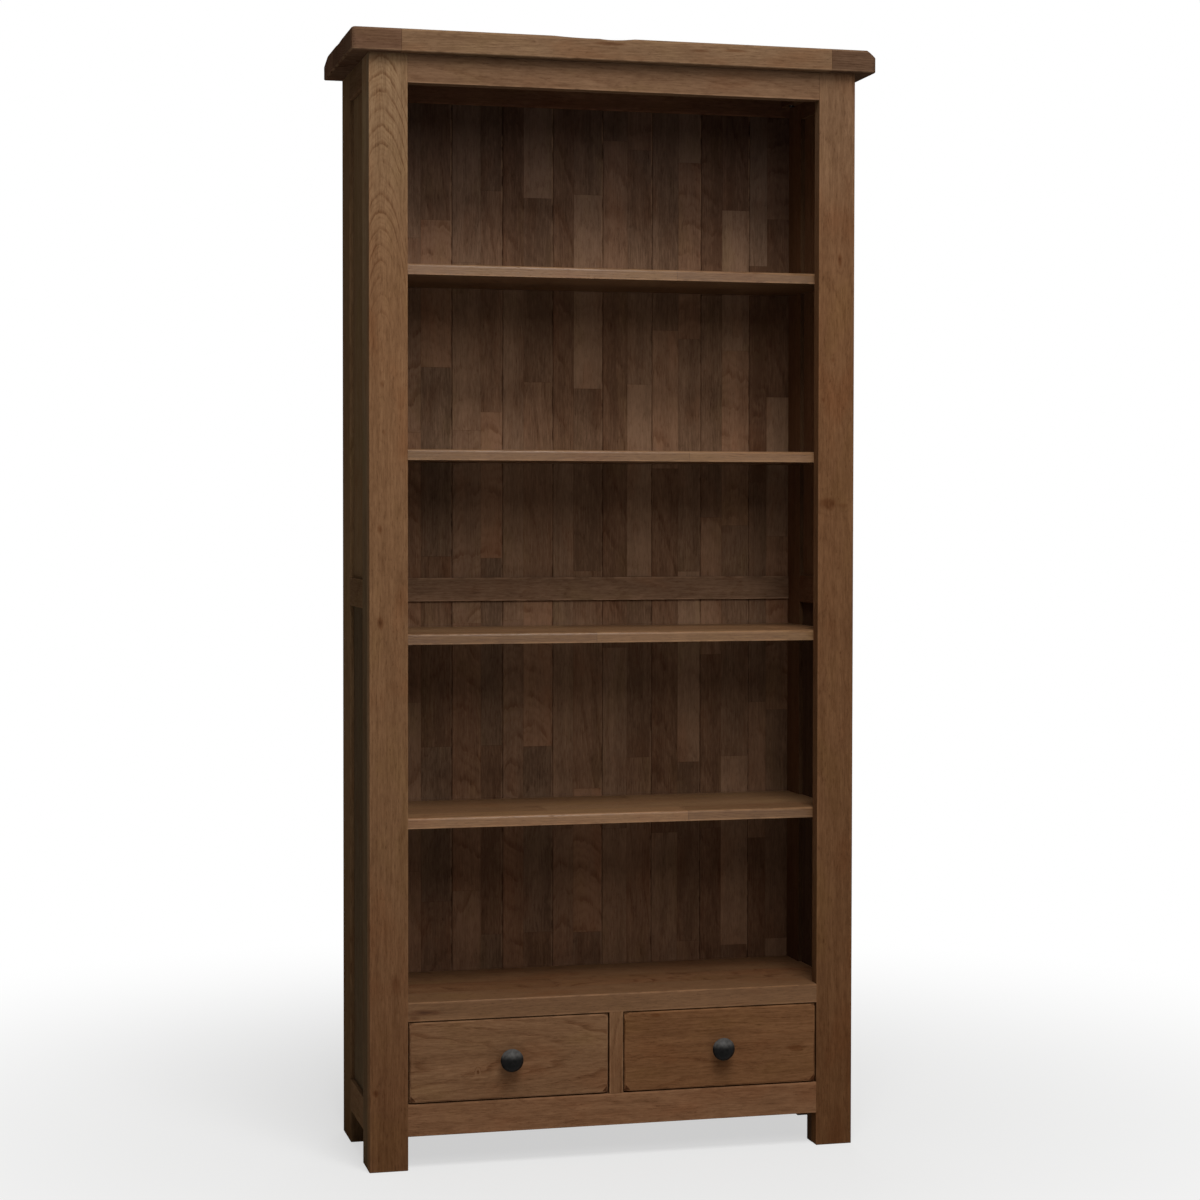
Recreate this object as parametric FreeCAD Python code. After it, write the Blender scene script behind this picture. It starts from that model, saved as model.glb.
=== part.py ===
import FreeCAD, Part
import math
import os

# Tall oak bookcase: a face frame on frame-and-panel sides, four fixed shelves, a deck, and two
# inset drawers side by side under the deck, with a tongued and grooved back and a thick top board.
#
# Millimetres. +X runs to the right of someone facing the bookcase, +Y runs to its back, +Z up.
# Every piece is drawn with X 0 at the middle of the width, Y 0 at the front of the face frame and
# Z 0 at the floor. On export all of them move together, so that the origin is at floor level
# under the middle of the whole outline, knobs included.

Vector = FreeCAD.Vector

# ---- driving sizes -------------------------------------------------------------------------

# Whole case
overall_height = 1902.0
carcass_width = 850.0
carcass_depth = 300.0

# Top board
top_thick = 38.0
top_side_overhang = 32.0
top_front_overhang = 20.0
top_corner_radius = 9.0
top_upper_round = 6.0
top_lower_bevel = 1.5

# Worn places on the top board: hollows in its upper arrises and two knocked corners. A hollow's
# place is its middle, along X on the front arris and along Y on the left one.
long_hollow_place = -54.0
long_hollow_length = 154.0
long_hollow_depth = 5.5
short_hollow_place = -10.0
short_hollow_length = 86.0
short_hollow_depth = 7.5
end_hollow_place = 125.0
end_hollow_length = 110.0
end_hollow_depth = 5.0
hollow_slope = 20.0
knock_width = 18.0
knock_run = 60.0
knock_drop = 15.0

# Face frame
face_thick = 24.0
stile_width = 65.0
top_rail_height = 48.0
bottom_rail_height = 54.0
foot_clearance = 57.0
divider_width = 24.0
arris_round = 2.0

# Side frames, each with an upper and a lower panel
side_thick = 26.0
side_stile_width = 48.0
rear_leg_width = 85.0
side_top_rail_height = 48.0
side_mid_rail_height = 48.0
side_bottom_rail_height = 54.0
mid_rail_centre = 965.5
side_panel_thick = 12.0
foot_block_depth = 24.0

# Deck and shelves
deck_thick = 32.0
deck_front_round = 3.0
shelf_count = 4
shelf_thick = 18.0
lowest_shelf_top = 589.5
shelf_pitch = 310.0
shelf_front_round = 5.0
housing_depth = 6.0

# Back
back_rail_thick = 22.0
back_top_rail_height = 36.0
back_mid_rail_height = 42.0
back_bottom_rail_height = 54.0
back_board_pitch = 92.5
back_board_thick = 12.0
tongue_length = 6.0
tongue_thick = 4.0
board_chamfer = 1.5

# Joinery that is shared by the frames
groove_depth = 8.0
panel_spare = 1.0
tenon_thick = 8.0
tenon_length = 18.0
tenon_shoulder = 10.0
mortise_spare = 1.0
divider_tenon_length = 12.0
divider_tenon_shoulder = 4.0

# Drawers
drawer_opening_height = 140.0
front_gap = 2.0
front_thick = 20.0
front_round = 3.5
corner_cut_width = 13.0
corner_cut_height = 15.0
corner_cut_depth = 5.0
drawer_side_thick = 12.0
drawer_side_clear = 3.0
drawer_back_thick = 12.0
drawer_back_drop = 8.0
drawer_bottom_thick = 6.0
drawer_bottom_rise = 12.0
drawer_groove_depth = 5.0
front_lap = 6.0
tail_count = 3
tail_share = 0.62
tail_slope = 1.0 / 7.0

# Runners, guides and stops
runner_thick = 18.0
runner_ledge = 8.0
guide_height = 20.0
guide_clear = 0.5
running_clear = 0.3
stop_length = 15.0
stop_height = 24.0

# Knobs and their screws
knob_diameter = 39.0
knob_projection = 30.0
knob_foot_diameter = 22.0
knob_foot_thick = 3.5
knob_neck_diameter = 13.0
knob_rim_thick = 4.0
knob_dome_height = 11.0
knob_shoulder_share = 0.78
knob_shoulder_rise = 0.55
knob_crown_share = 0.36
knob_screw_diameter = 4.0
knob_screw_depth = 14.0
knob_screw_clear = 0.3
knob_screw_head_diameter = 9.0
knob_screw_head_height = 2.6

# Battens and screws that hold the top board
batten_size = 20.0
batten_end_gap = 10.0
batten_screw_count = 2
batten_screw_diameter = 4.5
batten_screw_head_diameter = 9.0
batten_screw_head_height = 2.5
batten_screw_bite = 18.0
batten_screw_end = 30.0

# ---- places worked out from the sizes --------------------------------------------------------

carcass_height = overall_height - top_thick
half_width = carcass_width / 2.0
inner_half = half_width - side_thick
opening_half = half_width - stile_width
inner_depth = carcass_depth - back_rail_thick

top_rail_low = carcass_height - top_rail_height
bottom_rail_high = foot_clearance + bottom_rail_height
deck_low = bottom_rail_high + drawer_opening_height
deck_high = deck_low + deck_thick
shelf_tops = [lowest_shelf_top + shelf_pitch * index for index in range(shelf_count)]

side_bottom_rail_high = foot_clearance + side_bottom_rail_height
back_bottom_rail_high = foot_clearance + back_bottom_rail_height
back_top_rail_low = carcass_height - back_top_rail_height
side_stile_back = face_thick + side_stile_width
rear_leg_front = carcass_depth - rear_leg_width
side_middle = half_width - side_thick / 2.0
back_middle = carcass_depth - back_rail_thick / 2.0

runner_low = bottom_rail_high - runner_thick

drawer_opening_near = divider_width / 2.0
drawer_low = bottom_rail_high + running_clear
drawer_high = deck_low - drawer_side_clear
drawer_rear = inner_depth - stop_length - running_clear
drawer_near = drawer_opening_near + front_gap
drawer_far = opening_half - front_gap
drawer_middle = (drawer_near + drawer_far) / 2.0
front_low = bottom_rail_high + front_gap
front_high = deck_low - front_gap
bottom_panel_low = drawer_low + drawer_bottom_rise
bottom_panel_high = bottom_panel_low + drawer_bottom_thick
drawer_back_high = drawer_high - drawer_back_drop
knob_height = (front_low + front_high) / 2.0

# The knobs reach further forward than the top board, or the other way about.
front_reach = max(knob_projection, top_front_overhang)
face_y = (front_reach - carcass_depth) / 2.0

pieces = {}


# ---- shapes that repeat ------------------------------------------------------------------------

def block(x, y, z):
    """Box between the (low, high) pairs given for each axis."""
    corner = Vector(x[0], y[0], z[0])
    return Part.makeBox(x[1] - x[0], y[1] - y[0], z[1] - z[0], corner)


def prism(points, direction):
    """Solid swept along direction from the closed outline through points."""
    outline = Part.makePolygon([Vector(*point) for point in points + points[:1]])
    return Part.Face(outline).extrude(Vector(*direction))


def mirrored(shape):
    """The same piece on the other side of the bookcase."""
    return shape.mirror(Vector(0, 0, 0), Vector(1, 0, 0))


def edges_on(shape, x=None, y=None, z=None):
    """Edges that lie wholly in each plane named."""
    found = []
    for edge in shape.Edges:
        box = edge.BoundBox
        spans = ((x, box.XMin, box.XMax), (y, box.YMin, box.YMax), (z, box.ZMin, box.ZMax))
        if all(at is None or max(abs(low - at), abs(high - at)) < 1e-4 for at, low, high in spans):
            found.append(edge)
    return found


def eased(shape, radius, *planes):
    """Round the edges that lie in any of the sets of planes, each a dict for edges_on."""
    chosen = []
    for plane in planes:
        for edge in edges_on(shape, **plane):
            if not any(edge.isSame(other) for other in chosen):
                chosen.append(edge)
    return shape.makeFillet(radius, chosen)


def tenon_bar(low, high, along, across, length, shoulder):
    """Bar inside a rail that stands out at both of its ends as tenons.

    low and high are the rail's corners, along is the axis it runs on and across the axis of its
    thickness. The third axis is the rail's height, where the tenons have shoulders.
    """
    spans = [[low[axis], high[axis]] for axis in range(3)]
    upright = 3 - along - across
    middle = (low[across] + high[across]) / 2.0
    spans[along] = [low[along] - length, high[along] + length]
    spans[across] = [middle - tenon_thick / 2.0, middle + tenon_thick / 2.0]
    spans[upright] = [low[upright] + shoulder, high[upright] - shoulder]
    return block(*spans)


def rail(low, high, along, across, length=tenon_length, shoulder=tenon_shoulder):
    """A rail with its tenons, and the bar that cuts the mortises for them."""
    spans = [(low[axis], high[axis]) for axis in range(3)]
    wood = block(*spans).fuse(tenon_bar(low, high, along, across, length, shoulder)).removeSplitter()
    cutter = tenon_bar(low, high, along, across, length + mortise_spare, shoulder)
    return wood, cutter


def cut_all(shape, cutters):
    """The shape with every cutter taken out of it."""
    for cutter in cutters:
        shape = shape.cut(cutter)
    return shape


def corner_cutter(corner, steps):
    """Cutter that knocks a corner off at a slant.

    steps holds the signed distance from the corner to the cut along each of its three edges.
    """
    slant = Vector(-1.0 / steps.x, -1.0 / steps.y, -1.0 / steps.z)
    reach = abs(steps.x) + abs(steps.y) + abs(steps.z)
    cutter = block((-reach, reach), (-reach, reach), (0, reach))
    edge_point = corner + Vector(steps.x, 0, 0)
    cutter.Placement = FreeCAD.Placement(edge_point, FreeCAD.Rotation(Vector(0, 0, 1), slant))
    return cutter


def hollow_cutter(place, inward, length, depth):
    """Cutter for a shallow hollow worn into an upper arris.

    place is on the arris and inward points level into the board. The hollow is deepest on the
    arris and runs out on the upper face.
    """
    slope = math.radians(hollow_slope)
    axis = inward * math.cos(slope) + Vector(0, 0, math.sin(slope))
    outward = Vector(0, 0, math.cos(slope)) - inward * math.sin(slope)
    radius = (length * length / 4.0 + depth * depth) / (2.0 * depth)
    start = place - Vector(0, 0, depth) + outward * radius - axis * length
    return Part.makeCylinder(radius, 2.0 * length, start, axis)


def pan_screw(seat, direction, length, shank_diameter, head_diameter, head_height):
    """Screw whose head sits on the surface at seat, with its shank going on along direction."""
    shank = Part.makeCylinder(shank_diameter / 2.0, length, seat, direction)
    head = Part.makeCylinder(head_diameter / 2.0, head_height, seat, direction * -1)
    return shank.fuse(head).removeSplitter()


# ---- top board -----------------------------------------------------------------------------------

def make_top_board(screws):
    """Thick board that oversails the front and both sides, with softened and worn arrises."""
    reach = half_width + top_side_overhang
    front = -top_front_overhang
    board = block((-reach, reach), (front, carcass_depth), (carcass_height, overall_height))
    board = eased(board, top_corner_radius, dict(x=-reach, y=front), dict(x=reach, y=front))
    upper = [edge for edge in edges_on(board, z=overall_height) if edge.BoundBox.YMin < carcass_depth - 1]
    board = board.makeFillet(top_upper_round, upper)
    lower = [edge for edge in edges_on(board, z=carcass_height) if edge.BoundBox.YMin < carcass_depth - 1]
    board = board.makeChamfer(top_lower_bevel, lower)
    back = Vector(0, 1, 0)
    worn = []
    for x, length, depth in (
            (long_hollow_place, long_hollow_length, long_hollow_depth),
            (short_hollow_place, short_hollow_length, short_hollow_depth)):
        worn.append(hollow_cutter(Vector(x, front, overall_height), back, length, depth))
    end_place = Vector(-reach, end_hollow_place, overall_height)
    worn.append(hollow_cutter(end_place, Vector(1, 0, 0), end_hollow_length, end_hollow_depth))
    right_corner = Vector(reach, front, overall_height)
    left_corner = Vector(-reach, carcass_depth, overall_height)
    worn.append(corner_cutter(right_corner, Vector(-knock_width, knock_run, -knock_drop)))
    worn.append(corner_cutter(left_corner, Vector(knock_width, -knock_run, -knock_drop)))
    return cut_all(board, worn + screws)


def make_battens():
    """The left batten, which the top board is screwed through, and its screws."""
    ends = (face_thick + batten_end_gap, inner_depth - batten_end_gap)
    inner = -inner_half
    batten = block((inner, inner + batten_size), ends, (carcass_height - batten_size, carcass_height))
    first = ends[0] + batten_screw_end
    step = (ends[1] - batten_screw_end - first) / (batten_screw_count - 1)
    screws = []
    for index in range(batten_screw_count):
        seat = Vector(inner + batten_size / 2.0, first + step * index, carcass_height - batten_size)
        screws.append(pan_screw(
            seat, Vector(0, 0, 1), batten_size + batten_screw_bite,
            batten_screw_diameter, batten_screw_head_diameter, batten_screw_head_height))
    return cut_all(batten, screws), screws


# ---- face frame ------------------------------------------------------------------------------------

def make_face_frame():
    """Two stiles that run down as the front feet, the top and bottom rails and the divider."""
    low_rail, low_cutter = rail(
        (-opening_half, 0, foot_clearance), (opening_half, face_thick, bottom_rail_high), 0, 1)
    high_rail, high_cutter = rail(
        (-opening_half, 0, top_rail_low), (opening_half, face_thick, carcass_height), 0, 1)
    divider, divider_cutter = rail(
        (-divider_width / 2.0, 0, bottom_rail_high), (divider_width / 2.0, face_thick, deck_low),
        2, 1, divider_tenon_length, divider_tenon_shoulder)

    low_rail = eased(low_rail, arris_round, dict(y=0, z=foot_clearance))
    stile = block((-half_width, -opening_half), (0, face_thick), (0, carcass_height))
    stile = eased(stile, arris_round, dict(x=-half_width, y=0), dict(y=0, z=0), dict(x=-opening_half, z=0))
    stile = cut_all(stile, [low_cutter, high_cutter])

    pieces["bottom_front_rail"] = low_rail.cut(divider_cutter)
    pieces["top_front_rail"] = high_rail
    pieces["drawer_divider"] = divider
    pieces["front_stile_left"] = stile
    pieces["front_stile_right"] = mirrored(stile)
    return divider_cutter


# ---- deck and shelves ------------------------------------------------------------------------------

def board_span():
    """X span of a board that runs behind the stiles and into the housings of both sides."""
    end = inner_half + housing_depth
    return (-end, end)


def make_deck(divider_cutter):
    """Thick board over the drawers, notched round the stiles so that its front is flush with them."""
    behind = block(board_span(), (face_thick, inner_depth), (deck_low, deck_high))
    between = block((-opening_half, opening_half), (0, face_thick), (deck_low, deck_high))
    between = eased(between, deck_front_round, dict(y=0, z=deck_high))
    pieces["deck_board"] = behind.fuse(between).removeSplitter().cut(divider_cutter)


def make_shelves():
    """Four equal shelves that pass behind the stiles, each with a rounded front arris."""
    for index, top in enumerate(shelf_tops):
        shelf = block(board_span(), (face_thick, inner_depth), (top - shelf_thick, top))
        shelf = eased(shelf, shelf_front_round, dict(y=face_thick, z=top))
        pieces["shelf_%d" % (index + 1)] = shelf


def housings():
    """Square-ended slots in the side frames for the deck and the shelves."""
    levels = [(deck_low, deck_high)] + [(top - shelf_thick, top) for top in shelf_tops]
    return [block(board_span(), (face_thick, inner_depth), level) for level in levels]


# ---- side frames -------------------------------------------------------------------------------------

def side_panel(low, high):
    """A flat panel that fills a side frame's opening, and the cutter for the grooves round it."""
    reach = groove_depth - panel_spare
    thick = (-side_middle - side_panel_thick / 2.0, -side_middle + side_panel_thick / 2.0)
    panel = block(thick, (side_stile_back - reach, rear_leg_front + reach), (low - reach, high + reach))
    groove = block(
        thick, (side_stile_back - groove_depth, rear_leg_front + groove_depth),
        (low - groove_depth, high + groove_depth))
    return panel, groove


def make_sides(back_cutters):
    """Left side frame with its panels, and the right one as its mirror image."""
    outer = -half_width
    inner = -inner_half
    mid_low = mid_rail_centre - side_mid_rail_height / 2.0
    mid_high = mid_rail_centre + side_mid_rail_height / 2.0
    levels = {
        "bottom": (foot_clearance, side_bottom_rail_high),
        "mid": (mid_low, mid_high),
        "top": (carcass_height - side_top_rail_height, carcass_height),
    }
    rails = {}
    mortises = []
    for name, (low, high) in levels.items():
        wood, cutter = rail((outer, side_stile_back, low), (inner, rear_leg_front, high), 1, 0)
        rails["side_%s_rail" % name] = wood
        mortises.append(cutter)

    lower_panel, lower_groove = side_panel(levels["bottom"][1], levels["mid"][0])
    upper_panel, upper_groove = side_panel(levels["mid"][1], levels["top"][0])
    grooves = [lower_groove, upper_groove]
    slots = housings()

    stile = block((outer, inner), (face_thick, side_stile_back), (0, carcass_height))
    leg = block((outer, inner), (rear_leg_front, carcass_depth), (0, carcass_height))
    leg = eased(leg, arris_round, dict(x=outer, y=carcass_depth), dict(x=outer, z=0))

    left = {
        "side_stile": cut_all(stile, mortises + grooves + slots),
        "rear_leg": cut_all(leg, mortises + grooves + slots + back_cutters),
        "side_lower_panel": cut_all(lower_panel, slots),
        "side_upper_panel": cut_all(upper_panel, slots),
    }
    for name, wood in rails.items():
        left[name] = cut_all(wood, grooves + slots)

    block_x = (inner, -opening_half)
    left["foot_block"] = block(block_x, (face_thick, face_thick + foot_block_depth), (0, runner_low))
    for name, shape in left.items():
        pieces[name + "_left"] = shape
        pieces[name + "_right"] = mirrored(shape)


# ---- back ----------------------------------------------------------------------------------------------

def back_board_outline(left, right, tongue, groove):
    """Outline, seen from above, of one back board between its shoulders at left and right.

    A board has a tongue on its left edge and a groove in its right one, and bevels at both front
    arrises, which meet those of its neighbours in a V.
    """
    front = back_middle - back_board_thick / 2.0
    rear = back_middle + back_board_thick / 2.0
    near = back_middle - tongue_thick / 2.0
    far = back_middle + tongue_thick / 2.0
    reach = groove_depth - panel_spare
    outline = []
    if tongue:
        tip = left - tongue_length
        outline += [(left, rear), (left, far), (tip, far), (tip, near), (left, near)]
        outline += [(left, front + board_chamfer), (left + board_chamfer, front)]
    else:
        outline += [(left - reach, rear), (left - reach, front)]
    if groove:
        root = right - tongue_length - panel_spare
        outline += [(right - board_chamfer, front), (right, front + board_chamfer)]
        outline += [(right, near), (root, near), (root, far), (right, far), (right, rear)]
    else:
        outline += [(right + reach, front), (right + reach, rear)]
    return outline


def make_back():
    """Rails across the back, and nine tongued and grooved boards above and below the middle one."""
    mid_half = back_mid_rail_height / 2.0
    levels = {
        "bottom": (foot_clearance, back_bottom_rail_high),
        "mid": (mid_rail_centre - mid_half, mid_rail_centre + mid_half),
        "top": (back_top_rail_low, carcass_height),
    }
    depth = (back_middle - back_board_thick / 2.0, back_middle + back_board_thick / 2.0)
    reach = inner_half + groove_depth
    fields = [(levels["bottom"][1], levels["mid"][0]), (levels["mid"][1], levels["top"][0])]
    grooves = []
    for low, high in fields:
        grooves.append(block((-reach, reach), depth, (low - groove_depth, high + groove_depth)))

    cutters = list(grooves)
    for name, (low, high) in levels.items():
        wood, cutter = rail((-inner_half, inner_depth, low), (inner_half, carcass_depth, high), 0, 1)
        pieces["back_%s_rail" % name] = cut_all(wood, grooves)
        cutters.append(cutter)

    whole_boards = int((2.0 * inner_half - back_board_pitch) / back_board_pitch)
    edge_board = (2.0 * inner_half - whole_boards * back_board_pitch) / 2.0
    seams = [edge_board - inner_half + back_board_pitch * index for index in range(whole_boards + 1)]
    edges = [-inner_half] + seams + [inner_half]
    last = len(edges) - 2
    for index in range(len(edges) - 1):
        outline = back_board_outline(edges[index], edges[index + 1], index > 0, index < last)
        lengths = []
        for low, high in fields:
            foot = low - groove_depth + panel_spare
            height = high - low + 2.0 * (groove_depth - panel_spare)
            lengths.append(prism([(x, y, foot) for x, y in outline], (0, 0, height)))
        pieces["back_board_%d" % (index + 1)] = Part.makeCompound(lengths)
    return cutters


# ---- drawer runners --------------------------------------------------------------------------------------

def make_runners():
    """Runners that carry the drawer sides, guides that keep them straight, and stops behind them."""
    ledge_top = bottom_rail_high
    guide_top = ledge_top + guide_height
    length = (0, inner_depth - face_thick, 0)

    guide = drawer_far + guide_clear
    ledge = drawer_far - drawer_side_thick - runner_ledge
    outline = [(inner_half, runner_low), (inner_half, guide_top), (guide, guide_top)]
    outline += [(guide, ledge_top), (ledge, ledge_top), (ledge, runner_low)]
    right = prism([(x, face_thick, z) for x, z in outline], length)
    pieces["drawer_runner_right"] = right
    pieces["drawer_runner_left"] = mirrored(right)

    guide = drawer_near - guide_clear
    ledge = drawer_near + drawer_side_thick + runner_ledge
    half = [(ledge, runner_low), (ledge, ledge_top), (guide, ledge_top), (guide, guide_top)]
    outline = half + [(-x, z) for x, z in reversed(half)]
    pieces["drawer_runner_centre"] = prism([(x, face_thick, z) for x, z in outline], length)

    stops = []
    stop_y = (inner_depth - stop_length, inner_depth)
    stop_z = (ledge_top, ledge_top + stop_height)
    for low in (drawer_near, drawer_far - drawer_side_thick):
        stop = block((low, low + drawer_side_thick), stop_y, stop_z)
        stops += [stop, mirrored(stop)]
    pieces["drawer_stops"] = Part.makeCompound(stops)


# ---- drawers -----------------------------------------------------------------------------------------------

def dovetails(x, root, tip, low, high):
    """Tails of one drawer side, which spread from their root to their tip along Y."""
    pitch = (high - low) / tail_count
    root_half = pitch * tail_share / 2.0
    tip_half = root_half + abs(tip - root) * tail_slope
    tails = []
    for index in range(tail_count):
        middle = low + pitch * (index + 0.5)
        outline = [(root, middle - root_half), (tip, middle - tip_half)]
        outline += [(tip, middle + tip_half), (root, middle + root_half)]
        tails.append(prism([(x[0], y, z) for y, z in outline], (x[1] - x[0], 0, 0)))
    return tails


def make_knob():
    """Turned mushroom knob: foot, neck, domed head with a flat crown, and a blind bore for its screw."""
    foot = knob_foot_diameter / 2.0
    neck = knob_neck_diameter / 2.0
    head = knob_diameter / 2.0
    bore = knob_screw_diameter / 2.0
    rim = knob_projection - knob_dome_height
    outline = [(bore, knob_screw_depth), (bore, 0), (foot, 0), (foot, knob_foot_thick)]
    outline += [(neck, knob_foot_thick), (neck, rim - knob_rim_thick), (head, rim - knob_rim_thick)]
    outline += [(head, rim), (head * knob_shoulder_share, rim + knob_dome_height * knob_shoulder_rise)]
    outline += [(head * knob_crown_share, knob_projection), (0, knob_projection), (0, knob_screw_depth)]
    points = [Vector(radius, -out, 0) for radius, out in outline + outline[:1]]
    return Part.Face(Part.makePolygon(points)).revolve(Vector(0, 0, 0), Vector(0, 1, 0), 360)


def make_knob_screw():
    """Machine screw that comes through the drawer front from inside and into the knob."""
    return pan_screw(
        Vector(0, front_thick, 0), Vector(0, -1, 0), front_thick + knob_screw_depth,
        knob_screw_diameter, knob_screw_head_diameter, knob_screw_head_height)


def make_drawer():
    """Every piece of the right-hand drawer, as a dict of name and shape."""
    near = (drawer_near, drawer_near + drawer_side_thick)
    far = (drawer_far - drawer_side_thick, drawer_far)
    back = (drawer_rear - drawer_back_thick, drawer_rear)
    front_tail_low = max(drawer_low, front_low)
    front_tails = {}
    back_tails = {}
    for name, x in (("near", near), ("far", far)):
        front_tails[name] = dovetails(x, front_thick, front_lap, front_tail_low, drawer_high)
        back_tails[name] = dovetails(x, back[0], back[1], bottom_panel_high, drawer_back_high)

    groove_x = (near[1] - drawer_groove_depth, far[0] + drawer_groove_depth)
    groove_y = (front_thick - drawer_groove_depth, drawer_rear)
    bottom_groove = block(groove_x, groove_y, (bottom_panel_low, bottom_panel_high))
    panel_x = (groove_x[0] + panel_spare, groove_x[1] - panel_spare)
    panel_y = (groove_y[0] + panel_spare, drawer_rear)
    bottom = block(panel_x, panel_y, (bottom_panel_low, bottom_panel_high))

    sides = {}
    centre = block((near[1], far[0]), back, (bottom_panel_high, drawer_back_high))
    for name, x in (("near", near), ("far", far)):
        corner = block(x, back, (bottom_panel_high, drawer_back_high))
        pins = cut_all(corner, back_tails[name])
        side = block(x, (front_thick, drawer_rear), (drawer_low, drawer_high))
        for tail in front_tails[name]:
            side = side.fuse(tail)
        side = side.removeSplitter().cut(pins).cut(bottom_groove)
        centre = centre.fuse(pins)
        sides[name] = side

    front = block((drawer_near, drawer_far), (0, front_thick), (front_low, front_high))
    front = eased(front, front_round, dict(y=0))
    for x, outward_x in ((drawer_near, -1), (drawer_far, 1)):
        for z, outward_z in ((front_low, -1), (front_high, 1)):
            steps = Vector(-outward_x * corner_cut_width, corner_cut_depth, -outward_z * corner_cut_height)
            front = front.cut(corner_cutter(Vector(x, 0, z), steps))
    front = cut_all(front, front_tails["near"] + front_tails["far"])
    front = front.cut(bottom_groove)

    place = Vector(drawer_middle, 0, knob_height)
    hole_radius = knob_screw_diameter / 2.0 + knob_screw_clear
    screw_hole = Part.makeCylinder(hole_radius, front_thick, place, Vector(0, 1, 0))
    knob = make_knob()
    knob.translate(place)
    knob_screw = make_knob_screw()
    knob_screw.translate(place)
    return {
        "front": front.cut(screw_hole),
        "inner_side": sides["near"],
        "outer_side": sides["far"],
        "back": centre.removeSplitter(),
        "bottom": bottom,
        "knob": knob,
        "knob_screw": knob_screw,
    }


def make_drawers():
    """Two drawers, the left one as the mirror image of the right one."""
    for name, shape in make_drawer().items():
        pieces["drawer_right_" + name] = shape
        pieces["drawer_left_" + name] = mirrored(shape)


# ---- the whole bookcase ----------------------------------------------------------------------------------

def build():
    """Make every piece into the pieces dict, each where it belongs."""
    batten, screws = make_battens()
    all_screws = screws + [mirrored(item) for item in screws]
    pieces["top_board"] = make_top_board(all_screws)
    pieces["top_batten_left"] = batten
    pieces["top_batten_right"] = mirrored(batten)
    pieces["top_screws"] = Part.makeCompound(all_screws)
    divider_cutter = make_face_frame()
    make_deck(divider_cutter)
    make_shelves()
    make_sides(make_back())
    make_runners()
    make_drawers()


def export():
    """Move every piece so that the origin is under the middle of the outline, and write it."""
    os.makedirs("parts", exist_ok=True)
    for name, shape in pieces.items():
        shape.translate(Vector(0, face_y, 0))
        shape.exportStep("parts/%s.step" % name)


build()
export()
print("%d nodes, face plane at y %.1f" % (len(pieces), face_y))
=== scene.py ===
"""Looks of a tall oak bookcase with two bottom drawers: finishes, turned knobs, light and camera."""

import math
import random

import bmesh
import bpy
from mathutils import Matrix, Vector


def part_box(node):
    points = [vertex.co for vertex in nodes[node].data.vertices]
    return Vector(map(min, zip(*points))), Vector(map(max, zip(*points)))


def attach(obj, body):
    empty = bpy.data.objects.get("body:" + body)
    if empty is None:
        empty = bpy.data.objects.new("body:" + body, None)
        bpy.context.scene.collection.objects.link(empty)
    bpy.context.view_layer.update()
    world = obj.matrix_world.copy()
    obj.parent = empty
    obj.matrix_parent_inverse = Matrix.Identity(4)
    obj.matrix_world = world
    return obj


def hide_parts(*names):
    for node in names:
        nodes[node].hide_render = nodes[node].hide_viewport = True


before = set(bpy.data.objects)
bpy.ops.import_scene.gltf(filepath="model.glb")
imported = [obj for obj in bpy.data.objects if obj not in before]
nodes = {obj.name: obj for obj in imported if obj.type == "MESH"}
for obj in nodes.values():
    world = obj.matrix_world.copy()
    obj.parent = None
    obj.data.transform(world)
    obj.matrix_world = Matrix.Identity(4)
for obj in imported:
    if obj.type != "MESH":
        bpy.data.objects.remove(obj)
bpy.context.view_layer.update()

# ---- camera, in pixels of a 1200 x 1200 image and metres of the frame ------------------------------

IMAGE_WIDTH = 1200
FOCAL_PIXELS = 2527.9
CENTRE_ROW = 575.0
CAMERA_PLACE = Vector((-1.0782, -4.2945, 1.1111))
CAMERA_YAW = math.radians(14.144)
CAMERA_PITCH = math.radians(-1.514)
CAMERA_ROLL = math.radians(0.076)
SENSOR_WIDTH = 36.0


def put_in_scene(name, data):
    """New object with that data, linked to the scene."""
    thing = bpy.data.objects.new(name, data)
    bpy.context.scene.collection.objects.link(thing)
    return thing


def make_camera():
    """Camera that looks from the left, and whose axis meets the image a little above its middle."""
    forward = Vector((
        math.sin(CAMERA_YAW) * math.cos(CAMERA_PITCH),
        math.cos(CAMERA_YAW) * math.cos(CAMERA_PITCH),
        math.sin(CAMERA_PITCH)))
    level = Vector((math.cos(CAMERA_YAW), -math.sin(CAMERA_YAW), 0))
    upright = level.cross(forward)
    right = level * math.cos(CAMERA_ROLL) + upright * math.sin(CAMERA_ROLL)
    up = upright * math.cos(CAMERA_ROLL) - level * math.sin(CAMERA_ROLL)
    data = bpy.data.cameras.new("camera")
    data.sensor_width = SENSOR_WIDTH
    data.lens = SENSOR_WIDTH * FOCAL_PIXELS / IMAGE_WIDTH
    data.shift_y = (CENTRE_ROW - IMAGE_WIDTH / 2) / IMAGE_WIDTH
    camera = put_in_scene("camera", data)
    camera.matrix_world = Matrix((right, up, -forward)).transposed().to_4x4()
    camera.location = CAMERA_PLACE
    bpy.context.scene.camera = camera


# ---- node trees ------------------------------------------------------------------------------------

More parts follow.
